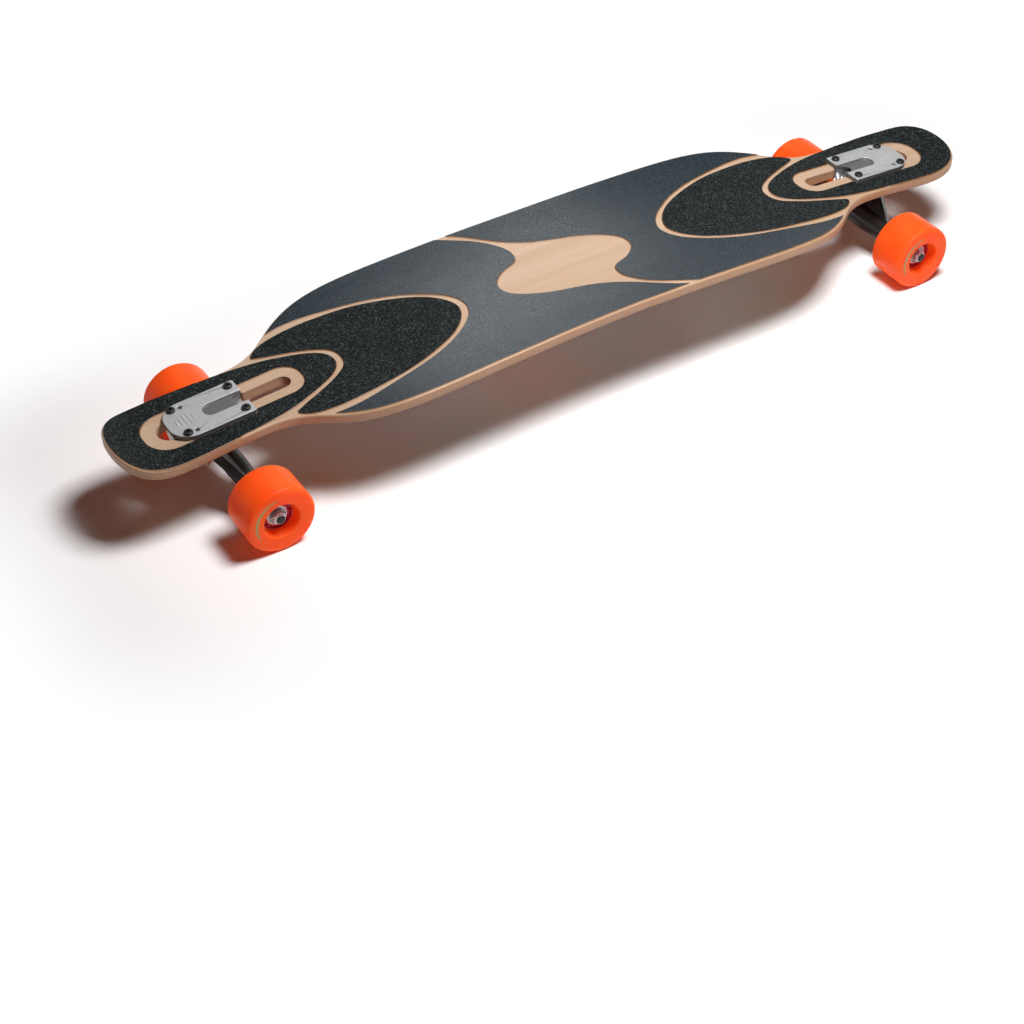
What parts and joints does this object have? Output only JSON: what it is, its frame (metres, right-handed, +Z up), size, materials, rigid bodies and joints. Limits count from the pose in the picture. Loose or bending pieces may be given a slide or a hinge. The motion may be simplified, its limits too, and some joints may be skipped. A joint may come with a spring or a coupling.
{
  "type": "longboard skateboard",
  "caption": "Drop-through longboard: cambered bamboo deck with cut-out ends and grit sheets, reverse-kingpin trucks that lean to steer, soft urethane wheels on ball bearings.",
  "frame": {"origin": "on the floor plane, under the middle of the board", "axes": "+X along the board to its front, +Y across it to its left, +Z up from the floor through the deck"},
  "size_m": [1.066, 0.245, 0.1229],
  "materials": {
    "bamboo_deck": "clear satin lacquer over bamboo veneer",
    "coarse_grip": "coarse black grit",
    "fine_grip": "fine grey-blue grit",
    "raw_alloy": "tumbled raw casting",
    "black_alloy": "gloss black coating",
    "zinc_steel": "bright zinc plate",
    "black_steel": "black oxide",
    "bearing_steel": "polished bearing steel",
    "red_urethane": "satin cast urethane",
    "cup_urethane": "moulded urethane",
    "orange_urethane": "satin orange cast urethane",
    "core_plastic": "glass-filled nylon, dark magenta"
  },
  "bodies": {
    "board": {"deck": "bamboo_deck", "front_end_grip": "coarse_grip", "front_foot_pad": "coarse_grip", "front_main_grip": "fine_grip", "front_baseplate": "raw_alloy", "front_pivot_cup": "cup_urethane", "front_kingpin": "zinc_steel", "front_boardside_bushing": "red_urethane", "front_roadside_bushing": "red_urethane", "front_boardside_washer": "zinc_steel", "front_roadside_washer": "zinc_steel", "front_kingpin_nut": "zinc_steel", "front_mounting_bolts": "black_steel", "front_mounting_nuts": "black_steel", "rear_end_grip": "coarse_grip", "rear_foot_pad": "coarse_grip", "rear_main_grip": "fine_grip", "rear_baseplate": "raw_alloy", "rear_pivot_cup": "cup_urethane", "rear_kingpin": "zinc_steel", "rear_boardside_bushing": "red_urethane", "rear_roadside_bushing": "red_urethane", "rear_boardside_washer": "zinc_steel", "rear_roadside_washer": "zinc_steel", "rear_kingpin_nut": "zinc_steel", "rear_mounting_bolts": "black_steel", "rear_mounting_nuts": "black_steel"},
    "front_hanger_body": {"front_hanger": "black_alloy", "front_axle": "zinc_steel", "front_axle_nuts": "zinc_steel", "front_speed_rings": "zinc_steel", "front_bearing_inner_races": "bearing_steel", "front_bearing_spacers": "zinc_steel"},
    "front_left_wheel": {"front_left_tyre": "orange_urethane", "front_left_core": "core_plastic", "front_left_outer_races": "bearing_steel"},
    "front_right_wheel": {"front_right_tyre": "orange_urethane", "front_right_core": "core_plastic", "front_right_outer_races": "bearing_steel"},
    "rear_hanger_body": {"rear_hanger": "black_alloy", "rear_axle": "zinc_steel", "rear_axle_nuts": "zinc_steel", "rear_speed_rings": "zinc_steel", "rear_bearing_inner_races": "bearing_steel", "rear_bearing_spacers": "zinc_steel"},
    "rear_left_wheel": {"rear_left_tyre": "orange_urethane", "rear_left_core": "core_plastic", "rear_left_outer_races": "bearing_steel"},
    "rear_right_wheel": {"rear_right_tyre": "orange_urethane", "rear_right_core": "core_plastic", "rear_right_outer_races": "bearing_steel"}
  },
  "joints": [
    {"name": "front_steer", "type": "hinge", "parent": "board", "child": "front_hanger_body", "pos_m": [0.41272, 0, 0.0375], "axis": [0.6884, 0, 0.7254], "range_deg": [-20, 20], "stiffness_Nm_per_rad": 90, "deforming": ["front_boardside_bushing", "front_roadside_bushing"]},
    {"name": "front_left_wheel_spin", "type": "hinge", "parent": "front_hanger_body", "child": "front_left_wheel", "pos_m": [0.41272, 0, 0.0375], "axis": [0, 1, 0], "continuous": true},
    {"name": "front_right_wheel_spin", "type": "hinge", "parent": "front_hanger_body", "child": "front_right_wheel", "pos_m": [0.41272, 0, 0.0375], "axis": [0, 1, 0], "continuous": true},
    {"name": "rear_steer", "type": "hinge", "parent": "board", "child": "rear_hanger_body", "pos_m": [-0.41272, 0, 0.0375], "axis": [-0.6884, 0, 0.7254], "range_deg": [-20, 20], "stiffness_Nm_per_rad": 90, "deforming": ["rear_boardside_bushing", "rear_roadside_bushing"]},
    {"name": "rear_left_wheel_spin", "type": "hinge", "parent": "rear_hanger_body", "child": "rear_left_wheel", "pos_m": [-0.41272, 0, 0.0375], "axis": [0, 1, 0], "continuous": true},
    {"name": "rear_right_wheel_spin", "type": "hinge", "parent": "rear_hanger_body", "child": "rear_right_wheel", "pos_m": [-0.41272, 0, 0.0375], "axis": [0, 1, 0], "continuous": true}
  ]
}
